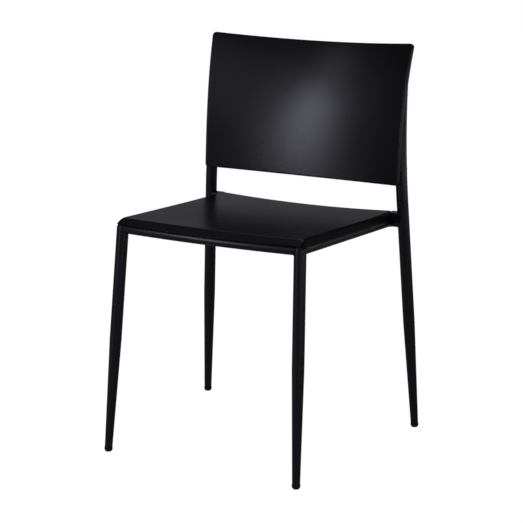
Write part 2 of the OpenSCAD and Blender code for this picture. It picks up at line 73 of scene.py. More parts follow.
# %% [markdown]
# ## Where the legs run
# A leg leans outwards and to the front or the rear, so that the chair stands firm. Its axis is
# a straight line in space. Turning an object by two angles would need both to be measured, so
# one function for each pair gives the axis at a height instead, and whatever touches a leg is
# placed by it.


# %% The legs' axes
def lerp(a, b, t):
    """The value a share t of the way from a to b."""
    return a + (b - a) * t


def front_axis(z):
    """A point on the right front leg's axis."""
    s = 1 - z / front_rail_h
    return Vector((half_w + front_splay * s, -half_d - front_rake * s, z))


def rear_axis(z):
    """A point on the right rear leg's axis."""
    s = 1 - z / rear_rail_h
    return Vector((rear_x + rear_splay * s, half_d + rear_rake * s, z))


def rail_h(y):
    """The height of a side rail's axis."""
    return lerp(front_rail_h, rear_rail_h, (y + half_d) / (2 * half_d))


print("right feet:", [[round(c, 1) for c in axis(0)] for axis in (front_axis, rear_axis)])

# %% [markdown]
# ## The form of the back
# The back leans further towards its top, and it is hollow across, so that it fits a person's
# back. Such a form could be pulled into shape by hand. A formula for its middle surface is
# better here, because the panel, its rim and its screws can all be set by it.

# %% The back's middle surface
back_low_h, back_h, back_t, back_top_x, back_y = 517.7, 282.5, 8.0, 235.0, 168.23
back_low_out, back_waist = 3.2, 1.6  # outside the legs below, and drawn in half way up
lean_low, lean_mid, lean_top = 4.8, 14.6, 46  # how far the sides lean over the height
bow_low, bow_top = 27, 35  # how far the middle lies behind the sides
dip_low, dip_top = 5.1, 10.4  # how far the middle dips under the corners


def back_point(u, t):
    """The back's middle surface: u is -1 to 1 across it, t is 0 to 1 up it."""
    low_x = rear_axis(back_low_h).x + back_low_out
    half = lerp(low_x, back_top_x, t) - 4 * back_waist * t * (1 - t)
    lean = 3 * lean_low * t * (1 - t) ** 2 + 3 * lean_mid * t * t * (1 - t) + lean_top * t**3
    c = 1 - u * u
    y = back_y + lean + lerp(bow_low, bow_top, t) * c
    return Vector((u * half, y, back_low_h + back_h * t - lerp(dip_low, dip_top, t) * c))


def back_normal(u, t, d=0.01):
    """The direction square to the back, pointing to the rear."""
    along = back_point(u, t + d) - back_point(u, t - d)
    return along.cross(back_point(u + d, t) - back_point(u - d, t)).normalized()


print("the back's upper corner:", [round(c, 1) for c in back_point(1, 1)])

# %% [markdown]
# ## From the drawing to the chair's place
# The solids are centred on the chair's outline, and the sizes above on the frame. A distance
# along Y is therefore taken from the middle of the frame first and then moved by one amount. It
# is done point by point, because a finished piece keeps its place in its mesh, and its object
# stays at the origin.

# %% Into the chair's place
foot_reach = 8.3  # how far a glide reaches in front of its leg's axis
outline_front = front_axis(0).y - foot_reach
outline_rear = back_point(0, 1 - back_t / 2 / back_h).y + back_t / 2
shift_y = -(outline_front + outline_rear) / 2


def placed(p):
    """Millimetres from the frame's middle, turned into metres in the chair's own place."""
    return Vector((p[0], p[1] + shift_y, p[2])) * MM


print("moved along Y by", round(shift_y, 3), "mm")

# %% [markdown]
# ## A finish with a grain
# The real chair has two blacks. The tube is powder coated: satin, with a fine orange peel of
# about a millimetre that breaks up its highlights. The mouldings come from a spark-eroded
# mould, so they have a finer grain and a softer sheen. A photograph of a surface would tie the
# grain to one picture. Noise on object coordinates keeps it at its real size on every piece.
# Fine noise makes the bumps, and broad noise lets gloss and tone drift a little, as they do on
# any real surface.

# %% A helper for a surface with grain
cool_tint = (0.9, 0.88, 1, 1)
broad_scale, fine_detail, broad_detail = 9, 3, 4
gloss_drift, tone_drift = 0.05, 0.15


def noise(nodes, links, where, scale, detail):
    """Noise with so many waves per metre."""
    texture = nodes.new("ShaderNodeTexNoise")
    texture.inputs["Scale"].default_value = scale
    texture.inputs["Detail"].default_value = detail
    links.new(where.outputs["Object"], texture.inputs["Vector"])
    return texture.outputs["Fac"]


def surface(name, colour, roughness, grain, depth, metallic=0.0):
    """A finish whose grain is a number of bumps per metre, with a depth in metres."""
    mat = bpy.data.materials.new(name)
    mat.use_nodes = True
    nodes, links = mat.node_tree.nodes, mat.node_tree.links
    shader = nodes["Principled BSDF"]
    shader.inputs["Metallic"].default_value = metallic
    shader.inputs["Specular Tint"].default_value = cool_tint
    where = nodes.new("ShaderNodeTexCoord")
    fine = noise(nodes, links, where, grain, fine_detail)
    broad = noise(nodes, links, where, broad_scale, broad_detail)
    bump = nodes.new("ShaderNodeBump")
    bump.inputs["Strength"].default_value = 1
    bump.inputs["Distance"].default_value = depth
    links.new(fine, bump.inputs["Height"])
    links.new(bump.outputs["Normal"], shader.inputs["Normal"])
    gloss = nodes.new("ShaderNodeMapRange")
    gloss.inputs["To Min"].default_value = roughness - gloss_drift
    gloss.inputs["To Max"].default_value = roughness + gloss_drift
    links.new(broad, gloss.inputs["Value"])
    links.new(gloss.outputs["Result"], shader.inputs["Roughness"])
    tone = nodes.new("ShaderNodeMix")
    tone.data_type = "RGBA"
    tone.inputs["A"].default_value = (*[c * (1 - tone_drift) for c in colour], 1)
    tone.inputs["B"].default_value = (*[min(1, c * (1 + tone_drift)) for c in colour], 1)
    links.new(broad, tone.inputs["Factor"])
    links.new(tone.outputs["Result"], shader.inputs["Base Color"])
    print(name, "grain:", round(1 / grain / MM, 2), "mm")
    return mat


tube_black = (0.013, 0.0123, 0.0155)
coated_tube = surface("coated_tube", tube_black, roughness=0.28, grain=900, depth=3e-5)

# %% [markdown]
# ## Four more finishes
# The seat and the back share the plastic. Glides, plugs and spacers are small plastic parts and
# duller. The screws under the seat and the sleeves inside the legs are plain steel, and the
# back's screws are blackened. Each solid could be given its finish by hand, but the record
# already names one for every part, so a loop reads it there. The blacks are written darker than
# they look, because reflections add most of what the eye sees on them.

# %% The other finishes
shell_black, dull_black = (0.0072, 0.0067, 0.0088), (0.008, 0.008, 0.009)
grey = (0.55, 0.55, 0.57)
shell_plastic = surface("shell_plastic", shell_black, roughness=0.26, grain=1500, depth=3e-5)
small_plastic = surface("small_plastic", dull_black, roughness=0.5, grain=1200, depth=4e-5)
plain_steel = surface("plain_steel", grey, roughness=0.35, grain=700, depth=3e-5, metallic=1.0)
black_steel = surface("black_steel", dull_black, roughness=0.3, grain=900, depth=2e-5)
all_five = (coated_tube, shell_plastic, small_plastic, plain_steel, black_steel)
finishes = {mat.name: mat for mat in all_five}
finish_of = {p["node"]: finishes[p["material_slot"]] for p in frame["record"]["subparts"]}
for node, finish in finish_of.items():
    solid = frame["nodes"][node]
    solid.data.materials.clear()
    solid.data.materials.append(finish)
print("solids with a finish:", len(finish_of))

# %% [markdown]
# ## Lofting a shell
# Both mouldings are closed shells whose outline runs in rings: in the middle of one face, out
# over the rounded edge, and back in over the other face. A circle is extruded from ring to
# ring, and each new ring is laid on the formula of the real surface. That keeps every edge in
# line with the outline, so the rounded rim shades cleanly, which a cut grid doesn't do. The
# first and the last ring close to a point, so the shell has no open edge.

# %% Loft a shell through rings
ring_n = 48  # points in a round ring


def circle_ring(start, direction, r, along):
    """A round ring square to a direction, at a distance along it."""
    z = Vector(direction).normalized()
    x = Vector((0, 1, 0)).cross(z).normalized()
    y = z.cross(x)
    turns = [2 * math.pi * i / ring_n for i in range(ring_n)]
    middle = Vector(start) + z * along
    return [middle + (x * math.cos(a) + y * math.sin(a)) * r for a in turns]


def loft(rings):
    """Extrudes one loop through rings of equal length; the first and last close to a point."""
    bm = bmesh.new()
    loop = bmesh.ops.create_circle(bm, segments=len(rings[0]), radius=1)["verts"]
    first, edges = loop, list(bm.edges)
    for vert, point in zip(loop, rings[0]):
        vert.co = placed(point)
    for ring in rings[1:]:
        grown = bmesh.ops.extrude_edge_only(bm, edges=edges)["geom"]
        edges = [g for g in grown if isinstance(g, bmesh.types.BMEdge)]
        old, partner = set(loop), {}
        for g in grown:
            if isinstance(g, bmesh.types.BMVert):
                for edge in g.link_edges:
                    if edge.other_vert(g) in old:
                        partner[edge.other_vert(g)] = g
        loop = [partner[v] for v in loop]
        for vert, point in zip(loop, ring):
            vert.co = placed(point)
    for end, ring in ((first, rings[0]), (loop, rings[-1])):
        middle = sum((Vector(p) for p in ring), Vector()) / len(ring)
        bmesh.ops.pointmerge(bm, verts=end, merge_co=placed(middle))
    return bm


rod = ((1, 0), (rail_r, 0), (rail_r, 100), (1, 100))
trial = loft([circle_ring((0, 0, 0), (0, 0, 1), r, along) for r, along in rod])
open_edges = sum(edge.is_boundary for edge in trial.edges)
print("a trial rod has", len(trial.faces), "faces and", open_edges, "open edges")
trial.free()

# %% [markdown]
# ## From a mesh to a piece
# Every new piece of the chair is smooth shaded, with sharp edges kept where its faces turn by a
# large angle, wears one finish and rides on the chair's one body. Doing that in one function
# means that no piece misses a step. When a piece is drawn in place of a solid, the call names
# that solid, and the solid is then hidden.


# %% Finish a piece
def finish_piece(name, bm, finish, stands_for=(), sharp=40):
    """Turns a bmesh into a smooth piece of the chair that wears one finish."""
    bmesh.ops.recalc_face_normals(bm, faces=bm.faces)
    mesh = bpy.data.meshes.new(name)
    bm.to_mesh(mesh)
    bm.free()
    mesh.shade_smooth()
    mesh.set_sharp_from_angle(angle=math.radians(sharp))
    mesh.materials.append(finish)
    piece = bpy.data.objects.new(name, mesh)
    bpy.context.scene.collection.objects.link(piece)
    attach(piece, "root")
    if stands_for:
        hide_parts(*stands_for)
    print(name, "faces:", len(mesh.polygons))


# %% [markdown]
# ## An outline with round corners
# The back, the seat and the corner blocks all have an outline of four sides with round corners.
# A loft needs the same number of points in each of its rings, and a bevel gives no such promise
# when sizes change. So the outline is drawn from runs and arcs with fixed counts.


# %% Outlines with round corners
def run_points(p, q, n):
    """Points from p up to just before q."""
    return [(lerp(p[0], q[0], i / n), lerp(p[1], q[1], i / n)) for i in range(n)]


def arc_points(x, y, r, start, n):
    """Points on a quarter circle, up to just before its end."""
    angles = [math.radians(start + 90 * i / n) for i in range(n)]
    return [(x + r * math.cos(a), y + r * math.sin(a)) for a in angles]


def round_rect(w, low, high, low_r, high_r, counts):
    """An outline of half width w; counts are the points across, up and round a corner."""
    across, up, corner = counts
    return (
        run_points((low_r - w, low), (w - low_r, low), across)
        + arc_points(w - low_r, low + low_r, low_r, -90, corner)
        + run_points((w, low + low_r), (w, high - high_r), up)
        + arc_points(w - high_r, high - high_r, high_r, 0, corner)
        + run_points((w - high_r, high), (high_r - w, high), across)
        + arc_points(high_r - w, high - high_r, high_r, 90, corner)
        + run_points((-w, high - high_r), (-w, low + low_r), up)
        + arc_points(low_r - w, low + low_r, low_r, 180, corner)
    )


print("points in an outline:", len(round_rect(2, 0, 4, 1, 1, (48, 32, 8))))

# %% [markdown]
# ## The back
# The back is one plate, 8 mm thick, curved across and leaning further back towards its top. Its
# rim is flat between two small rounds. On a black part the rim is what draws the outline, as a
# thin dark line beside the lit face, so each round gets six steps. The rings are laid on the
# formula above and moved off it along its normal, which keeps the plate equally thick.

# %% The back
back_corner_low_r, back_corner_top_r, back_counts = 6, 8, (48, 32, 8)
half_t, rim_r, rim_steps = back_t / 2, 2.2, 6
back_shares = [0.02, 0.08, 0.16, 0.26, 0.36, 0.46, 0.56, 0.66, 0.75, 0.83, 0.9, 0.95, 0.98]


def back_ring(share, inset, offset):
    """The outline drawn in by an inset, shrunk to a share, and moved off the middle surface."""
    low_r, top_r = back_corner_low_r - inset, back_corner_top_r - inset
    outline = round_rect(back_top_x - inset, inset, back_h - inset, low_r, top_r, back_counts)
    ring = []
    for x, z in outline:
        u = x * share / back_top_x
        t = (back_h / 2 + (z - back_h / 2) * share) / back_h
        ring.append(back_point(u, t) + back_normal(u, t) * offset)
    return ring


def rim_ring(turn, face):
    """A ring on a round of the rim, turned from its edge to a face: -1 in front, 1 behind."""
    offset = half_t - rim_r + rim_r * math.sin(turn)
    return back_ring(1, rim_r * (1 - math.cos(turn)), face * offset)


rim = [math.radians(90 / rim_steps * i) for i in range(rim_steps + 1)]
rings = [back_ring(s, rim_r, -half_t) for s in back_shares]
rings += [rim_ring(a, -1) for a in reversed(rim)]
rings += [rim_ring(a, 1) for a in rim]
rings += [back_ring(s, rim_r, half_t) for s in reversed(back_shares)]
finish_piece("back_moulding", loft(rings), shell_plastic, ["back_shell"])

# %% [markdown]
# ## The seat's plate
# The seat is a thin plate that falls towards the rear and is dished there, so that a sitter
# doesn't slide forward. In front its outline is bowed like the rail under it. A subdivided box
# would only come near that form, so the height and the bow are formulas of the place.

# %% The seat's plate
edge_out = 1.5  # how far the plate reaches past the side rails' axes
lip_gap, lip_t = 0.4, 2.8  # how far the border's lip clears a rail, and its wall
front_border_w, rear_border_w = 15.3, 17.5
edge_x, lip_x = half_w + edge_out, half_w + rail_r + lip_gap + lip_t
lip_front, lip_rear = -half_d - rail_r - lip_gap, half_d + rail_r + rail_gap + 2 * lip_t
edge_front, edge_rear = lip_front + front_border_w, lip_rear - rear_border_w
seat_mid = (edge_front + edge_rear) / 2
levelling = 0.25  # how strongly the fall levels out at the rear edge


def share_of(value, low, high):
    """How far a value lies on the way from low to high, from 0 to 1."""
    return min(1, max(0, (value - low) / (high - low)))


def seat_z(x, y):
    """The height of the plate's top."""
    s, u = share_of(y, edge_front, edge_rear), min(1, abs(x) / edge_x)
    fall = seat_rake * ((1 + levelling) * s - levelling * s**5)
    return seat_h - fall - seat_dish * s * s * (3 - 2 * s) * (1 - u * u)


def bowed(x, y):
    """The place along Y once the outline's front follows the bow of the front rail."""
    return y - rail_bow * max(0, 1 - (x / half_w) ** 2) * share_of(-y, 0, half_d) ** 2


print("the plate is", 2 * edge_x, "mm wide and", round(edge_rear - edge_front, 1), "mm deep")

# %% [markdown]
# ## The seat's border
# On all sides the seat turns down over the rails. In front the border is a straight slope that
# drops a little less towards its ends. On the other sides it starts gently and ends steeply,
# and near a corner it drops late, which rounds the corner off. One extruded wall would be the
# same all round, so the slope is a formula too. Its curves were set by the outline and the
# shading in the photograph.

# %% The seat's border
front_border_h, front_end_rise = 12, 1.3
side_border_h, side_border_rear_h, rear_border_h = 17, 18.8, 18
flank_curve, shoulder_start, shoulder_reach = (0.63, -0.428, 0.798), 0.35, 24
edge_corner_r, front_lip_r, rear_lip_r, seat_counts = 6, 13, 8, (48, 40, 8)


def border_h(x, y):
    """The border's height at a place on the outline."""
    side = lerp(side_border_h, side_border_rear_h, share_of(y, edge_front, edge_rear))
    ahead, behind = share_of(-y, -edge_front, -lip_front), share_of(y, edge_rear, lip_rear)
    front_h = front_border_h - front_end_rise * (x / half_w) ** 2
    return lerp(lerp(side, front_h, ahead), rear_border_h, behind)


def slope_down(x, y, out, near, ahead):
    """How far the slope has dropped at a share out; near is 1 at a corner, ahead 1 in front."""
    flank = sum(c * out ** (i + 1) for i, c in enumerate(flank_curve))
    shoulder = shoulder_start * out + (1 - shoulder_start) * out**4
    curved = border_h(x, y) * lerp(flank, shoulder, near)
    return lerp(curved, border_h(x, lip_front) * out, ahead)


def seat_ring(share=1, out=0, inset=0, drop=0):
    """A ring at a share of the plate or out along the slope, then set in and lowered."""
    low_r = lerp(edge_corner_r, front_lip_r, out) - inset
    high_r = lerp(edge_corner_r, rear_lip_r, out) - inset
    w = lerp(edge_x, lip_x, out) - inset
    low, high = lerp(edge_front, lip_front, out) + inset, lerp(edge_rear, lip_rear, out) - inset
    ring = []
    for px, py in round_rect(w, low, high, low_r, high_r, seat_counts):
        near = max(0, 1 - (w - abs(px) + min(py - low, high - py)) / shoulder_reach)
        ahead = max(0, 1 - (py - low) / low_r) ** 2
        x, y = px * share, seat_mid + (py - seat_mid) * share
        z = seat_z(x, y) - slope_down(px, py, out, near, ahead) - drop
        ring.append(Vector((x, bowed(x, y), z)))
    return ring


lip_z = seat_ring(out=1)[0].z
print("with its border", round(2 * lip_x, 1), "mm wide, front lip", round(lip_z, 1), "mm high")

# %% [markdown]
# ## The seat's shell
# The crease where the plate meets the border is only a few millimetres round, and it catches
# the light as a fine line. A bevel after the loft would disturb the rings. Here the crease is a
# curve with three control rings: one on the plate, the sharp edge itself, and one on the slope.
# The lip is rounded in the same way. The rings then run back up inside the border and over the
# plate's underside, which gives the moulding its wall.

# %% The seat's shell
plate = [0.02, 0.1, 0.2, 0.32, 0.44, 0.56, 0.67, 0.77, 0.86, 0.93, 0.97]
slope = [0.1, 0.18, 0.29, 0.4, 0.52, 0.64, 0.76, 0.86, 0.92]
crease_in, crease_out, crease_steps = 1.2, 0.08, 5
lip_start, lip_round, lip_flat, lip_steps = 0.93, 1.3, 2, 5
wall_start, wall_steps, wall = 0.965, 3, ((0.67, 0.42), (0.33, 1.68))  # wall: out and drop


def rounded(a, b, c, steps):
    """Rings along a curve that starts at a, ends at c and is pulled towards b."""
    made = []
    for i in range(steps + 1):
        w = i / steps
        curve = [p * (1 - w) ** 2 + q * 2 * w * (1 - w) + r * w * w for p, q, r in zip(a, b, c)]
        made.append(curve)
    return made


rings = [seat_ring(s) for s in plate]
rings += rounded(seat_ring(inset=crease_in), seat_ring(), seat_ring(out=crease_out), crease_steps)
rings += [seat_ring(out=o) for o in slope]
lip_ends = seat_ring(out=lip_start), seat_ring(out=1, inset=lip_round)
rings += rounded(lip_ends[0], seat_ring(out=1), lip_ends[1], lip_steps)
wall_ends = seat_ring(out=1, inset=lip_flat), seat_ring(out=wall_start, inset=lip_t)
rings += rounded(wall_ends[0], seat_ring(out=1, inset=lip_t), wall_ends[1], wall_steps)
rings += [seat_ring(out=o, inset=lip_t, drop=d) for o, d in wall]
rings += [seat_ring(s, inset=lip_t / 2, drop=seat_t) for s in (1, *reversed(plate))]
seat_bm = loft(rings)
print("rings in the seat:", len(rings))

# %% [markdown]
# ## Notches in the seat
# The border is cut away round the rounded top of each front leg and over the block at each rear
# leg. The shell is one closed skin by now, so a boolean with the cutting shapes gives the
# notches. Its modifier's result is taken at once, so that the piece has no live modifiers. The
# cutters are a round stack that ends in a dome, half a millimetre clear of the leg, and a box.

# %% Notches in the seat
notch_r, notch_depth, dome_step = leg_r + 0.5, 30, 10
box_w, box_x, box_behind = 24, 212, 12.9


def combine(bm, tools, operation):
    """Adds closed meshes to another one, or takes them away, and returns the result."""
    objects = []
    for i, tool in enumerate([bm, *tools]):
        bmesh.ops.recalc_face_normals(tool, faces=tool.faces)
        mesh = bpy.data.meshes.new(f"tool_{i}")
        tool.to_mesh(mesh)
        tool.free()
        objects.append(bpy.data.objects.new(f"tool_{i}", mesh))
        bpy.context.scene.collection.objects.link(objects[-1])
    for tool in objects[1:]:
        step = objects[0].modifiers.new(tool.name, "BOOLEAN")
        step.operation, step.solver, step.object = operation, "EXACT", tool
    seen = objects[0].evaluated_get(bpy.context.evaluated_depsgraph_get())
    result = bmesh.new()
    result.from_mesh(seen.to_mesh())
    seen.to_mesh_clear()
    for ob in objects:
        bpy.data.meshes.remove(ob.data)
    return result


def mirrored(p, side):
    """The point itself for the side 1, and its mirror image for the side -1."""
    return Vector((p[0] * side, p[1], p[2]))


leg_top, leg_up = front_axis(front_rail_h), front_axis(front_rail_h) - front_axis(0)
dome = [math.radians(dome_step * i) for i in range(9)]
stack = [circle_ring(leg_top, leg_up, r, -notch_depth) for r in (1, notch_r)]
stack += [circle_ring(leg_top, leg_up, notch_r * math.cos(a), notch_r * math.sin(a)) for a in dome]
cutters = []
for side in (-1, 1):
    cutters.append(loft([[mirrored(p, side) for p in ring] for ring in stack]))
    box = bmesh.new()
    bmesh.ops.create_cube(box, size=box_w * MM)
    bmesh.ops.scale(box, verts=box.verts, vec=(1, 2, 2))
    box_at = placed((side * box_x, half_d + box_behind, rear_rail_h + box_w))
    bmesh.ops.translate(box, verts=box.verts, vec=box_at)
    cutters.append(box)
seat_bm = combine(seat_bm, cutters, "DIFFERENCE")
print("faces after the notches:", len(seat_bm.faces))

# %% [markdown]
# ## Bosses under the seat
# Four screws come up through the tabs on the side rails into bosses under the seat. Real bosses
# are moulded with the plate and widen where they meet it. Each is a stack of rings whose last
# ones reach into the plate, and a boolean joins them, so the seat stays one closed skin.

# %% Bosses under the seat
tab_reach, tab_t, boss_r = 34, 3, 7.5
tab_front, tab_rear = 70, 60  # how far the tabs are from the front and the rear rail
tab_x, tab_ys = half_w - tab_reach + boss_r, (tab_front - half_d, half_d - tab_rear)
boss_foot, boss_top = ((-0.5, 0), (0, 0.5)), ((0, -2), (1, -0.5), (2, 1))  # wider by, height
bosses = []
for side in (-1, 1):
    for y in tab_ys:
        foot, up = (side * tab_x, y, rail_h(y) + tab_t / 2), (0, 0, 1)
        tall = seat_z(tab_x, y) - seat_t - foot[2]
        stack = [circle_ring(foot, up, boss_r + wider, h) for wider, h in boss_foot]
        stack += [circle_ring(foot, up, boss_r + wider, tall + h) for wider, h in boss_top]
        bosses.append(loft(stack))
seat_bm = combine(seat_bm, bosses, "UNION")
finish_piece("seat_moulding", seat_bm, shell_plastic, ["seat_shell"], sharp=50)

# %% [markdown]
# ## The corner blocks
# Behind the seat, a block closes the corner between the rear rail and each rear leg. On the real
# chair it is filled and ground smooth before it is coated, so its edges are soft and it runs
# into the leg in a hollow curve. A bevelled box gets broken faces where the curve meets the leg.
# So it is lofted from the rail to the leg, through rings that are rectangles with round corners,
# and the last rings grow up and down along the hollow.

# %% The corner blocks
block_drop = 6.67  # from the rear rail's axis down to the block's underside
block_gap = 1.6  # from the seat's rear edge down to the block's top
block_over = 0.6  # how far the block stands out past the rail, in front and behind
block_low, block_top = rear_rail_h - block_drop, seat_h - seat_rake - block_gap
block_t = rail_r + block_over
hollow_low, hollow_top, block_edge_r, block_counts = 9, 4, 1.2, (4, 4, 4)
block_end, end_x, block_steps = ((0, 1), (0.3, 0.3), (1, 0)), 1.5, 40  # end: along X, inset


def grown(x, z, r):
    """How far a hollow of a radius has risen at a distance x, where it ends on the leg at z."""
    reach = x - rear_axis(z).x + math.sqrt(leg_r**2 - block_t**2) + r
    return r - math.sqrt(r * r - min(r, max(0, reach)) ** 2)


def block_ring(x, inset=0):
    """A rectangle with round corners, square to X."""
    low = block_low - grown(x, block_low - hollow_low, hollow_low) + inset
    top = block_top + grown(x, block_top + hollow_top, hollow_top) - inset
    outline = round_rect(block_t - inset, low, top, block_edge_r, block_edge_r, block_counts)
    return [(x, half_d + y, z) for y, z in outline]


start_x, leg_x = half_w + edge_out, rear_axis(block_low).x
rings = [block_ring(start_x + dx, inset) for dx, inset in block_end]
for i in range(1, block_steps + 1):
    rings.append(block_ring(start_x + end_x + (leg_x - start_x - end_x) * i / block_steps))
for side, word in ((-1, "left"), (1, "right")):
    block = loft([[mirrored(p, side) for p in ring] for ring in rings])
    finish_piece(f"corner_block_{word}", block, coated_tube, [f"rear_gusset_{word}"], sharp=50)

# %% [markdown]
# ## Where a rail meets a leg
# Two round tubes meet in a saddle-shaped line, and the weld follows it. The line could be cut
# out of the tubes' meshes, but their facets would make it jagged. It is found by walking along
# the rail's surface until it touches the leg. It stops below the seat's border, which would be
# in the bead's way.


# %% The saddle between two tubes
def saddle(start, way, r, leg_at, leg_way, leg_radius, top):
    """Points on the joint of a rail and a leg, below a height, along the rail's surface."""
    way, leg_way = Vector(way).normalized(), Vector(leg_way).normalized()
    points = []
    for p in circle_ring(start, way, r, 0):
        across = (p - Vector(leg_at)) - leg_way * (p - Vector(leg_at)).dot(leg_way)
        step = way - leg_way * way.dot(leg_way)
        b, c = across.dot(step), across.length_squared - leg_radius**2
        root = b * b - step.length_squared * c
        points.append(p + way * ((math.sqrt(max(0, root)) - b) / step.length_squared))
    first = max(range(ring_n), key=lambda i: points[i].z)
    turned = points[first:] + points[:first]
    return [p for p in turned if p.z < top]


front_clear, side_clear, rear_clear = 3.5, 2, 7.4  # how far under its border each weld starts
front_low, side_low = seat_h - front_border_h - front_clear, seat_h - side_border_h - side_clear
rear_low = seat_h - seat_rake - side_border_rear_h - rear_clear
print("welds start below", [round(h, 1) for h in (front_low, side_low, rear_low)], "mm")

# %% [markdown]
# ## Welds
# The coating shows a low bead of weld along each joint, and two along each tab under the seat.
# A curve through the points with a round section gives the bead. It is then made a mesh,
# because the finish reads object coordinates and a piece keeps its place in its mesh.

# %% The weld beads
bead_r, tab_bead_r, tab_bead = 1.3, 1.2, (-13, -4, 5, 13)
bead_curve = bpy.data.curves.new("weld_run", "CURVE")
bead_curve.dimensions, bead_curve.bevel_depth, bead_curve.bevel_resolution = "3D", MM, 3
bead_curve.use_fill_caps = True


def bead_run(points, r):
    """Adds one bead along points, with a radius in millimetres."""
    run = bead_curve.splines.new("POLY")
    run.points.add(len(points) - 1)
    for spot, p in zip(run.points, points):
        spot.co = (*placed(p), 1)
        spot.radius = r


bow_r = (half_w**2 + rail_bow**2) / (2 * rail_bow)
bow_turn = math.asin(half_w / bow_r)
for side in (-1, 1):
    at, leg_way = mirrored(leg_top, side), mirrored(leg_up, side)
    rail_way = (-side * math.cos(bow_turn), -math.sin(bow_turn), 0)
    side_way = Vector((0, 2 * half_d, rear_rail_h - front_rail_h))
    bead_run(saddle(at, rail_way, rail_r, at, leg_way, leg_r, front_low), bead_r)
    bead_run(saddle(at, side_way, rail_r, at, leg_way, leg_r, side_low), bead_r)
    rear = Vector((side * half_w, half_d, rear_rail_h))
    bead_run(saddle(rear, -side_way, rail_r, rear, (1, 0, 0), rail_r, rear_low), bead_r)
    for y in tab_ys:
        for z in (tab_t / 2, -tab_t / 2):
            x = half_w - math.sqrt(rail_r**2 - z**2)
            bead_run([(side * x, y + d, rail_h(y + d) + z) for d in tab_bead], tab_bead_r)
bead_object = bpy.data.objects.new("weld_run", bead_curve)
bead_bm = bmesh.new()
bead_bm.from_mesh(bead_object.to_mesh())
bead_object.to_mesh_clear()
bpy.data.objects.remove(bead_object)
print("beads:", len(bead_curve.splines))
finish_piece("weld_beads", bead_bm, coated_tube)

# %% [markdown]
# ## Screws
# Four button-head screws hold the seat from below and four hold the back from behind. Their
# heads are domed, with a six-sided socket for a key. A socket could be cut with a boolean, but
# it can be part of the same loft: its rings are circles pressed into a hexagon.

# %% A button-head screw
tip_r, tip_l, shank_r, brim_r, brim_h = 2, 0.6, 2.5, 4.6, 0.5
flat_r, dome_r, dome_h, dome_turn = 3.1, 1.65, 2.5, 15
socket_r, socket_top, socket_floor, key_w = 2.6, 2.9, 1.2, 3


def hexagon_ring(start, direction, across, along):
    """A six-sided ring with as many points as a circle's ring; across is its key size."""
    ring, middle = [], Vector(start) + Vector(direction).normalized() * along
    for i, p in enumerate(circle_ring(start, direction, 1, along)):
        lean = math.radians((360 * i / ring_n + 30) % 60 - 30)
        ring.append(middle + (p - middle) * across / 2 / math.cos(lean))
    return ring


def button_screw(foot, way, length):
    """A screw whose head's underside is at a point, with its shank along a direction."""
    form = [(tip_r, length), (shank_r, length - tip_l), (shank_r, 0), (brim_r, 0)]
    for a in [math.radians(dome_turn * i) for i in range(5)]:
        form.append((flat_r + dome_r * math.cos(a), -brim_h - dome_h * math.sin(a)))
    form.append((socket_r, -socket_top))
    rings = [circle_ring(foot, way, r, along) for r, along in form]
    rings += [hexagon_ring(foot, way, key_w, along) for along in (-socket_top, -socket_floor)]
    return loft(rings)


def joined(meshes):
    """Puts several closed meshes into one."""
    whole = bmesh.new()
    for bm in meshes:
        mesh = bpy.data.meshes.new("joined")
        bm.to_mesh(mesh)
        bm.free()
        whole.from_mesh(mesh)
        bpy.data.meshes.remove(mesh)
    return whole


seat_screw_l, screws = 12, []
for side in (-1, 1):
    for y in tab_ys:
        foot = (side * tab_x, y, rail_h(y) - tab_t / 2)
        screws.append(button_screw(foot, (0, 0, 1), seat_screw_l))
finish_piece("seat_button_screws", joined(screws), finish_of["seat_screws"], ["seat_screws"])

# %% [markdown]
# ## Screws at the back
# The back's screws follow the lean of the back. Working their places out again would repeat a
# good part of the solids' drawing, so they are read from the solids: the points that reach
# farthest along a screw lie on its end face, and their middle is on its axis.

# %% The back's screws
end_depth, screw_head_h = 0.3, 3


def end_of(points, way):
    """The middle of the points that reach farthest along a direction."""
    far = max(p.dot(way) for p in points)
    last = [p for p in points if far - p.dot(way) < end_depth]
    return sum(last, Vector()) / len(last)


solid = frame["nodes"]["back_screws"]
shift = Vector((0, shift_y, 0))
points = [(solid.matrix_world @ v.co) / MM - shift for v in solid.data.vertices]
middle_h = sum(p.z for p in points) / len(points)
screws = []
for side in (-1, 1):
    for half in (-1, 1):
        group = [p for p in points if p.x * side > 0 and (p.z - middle_h) * half > 0]
        middle = sum(group, Vector()) / len(group)
        way = back_normal(middle.x / back_top_x, (middle.z - back_low_h) / back_h)
        way = (end_of(group, way) - end_of(group, -way)).normalized()
        foot = end_of(group, way) - way * screw_head_h
        screws.append(button_screw(foot, -way, (foot - end_of(group, -way)).length))
        print("back screw at", [round(c, 1) for c in foot], "along", [round(c, 3) for c in way])
finish_piece("back_button_screws", joined(screws), finish_of["back_screws"], ["back_screws"])

# %% [markdown]
# ## White for the camera only
# The background is white and nothing else, so the picture stays about the chair. A floor and a
# sky that are truly white would turn the black plastic grey, because it mirrors them. The Light
# Path node tells a camera's ray from the others, so the camera is shown white, while the chair
# sees a plain floor and a dim sky.


# %% White for the camera only
def times(nodes, links, socket, other):
    """A socket times a number or another socket."""
    product = nodes.new("ShaderNodeMath")
    product.operation = "MULTIPLY"
    links.new(socket, product.inputs[0])
    if isinstance(other, float):
        product.inputs[1].default_value = other
    else:
        links.new(other, product.inputs[1])
    return product.outputs[0]


def mix(nodes, links, share, first, second):
    """Mixes two shaders by a share of the second."""
    mixed = nodes.new("ShaderNodeMixShader")
    for source, target in zip((share, first.outputs[0], second.outputs[0]), mixed.inputs):
        links.new(source, target)
    return mixed


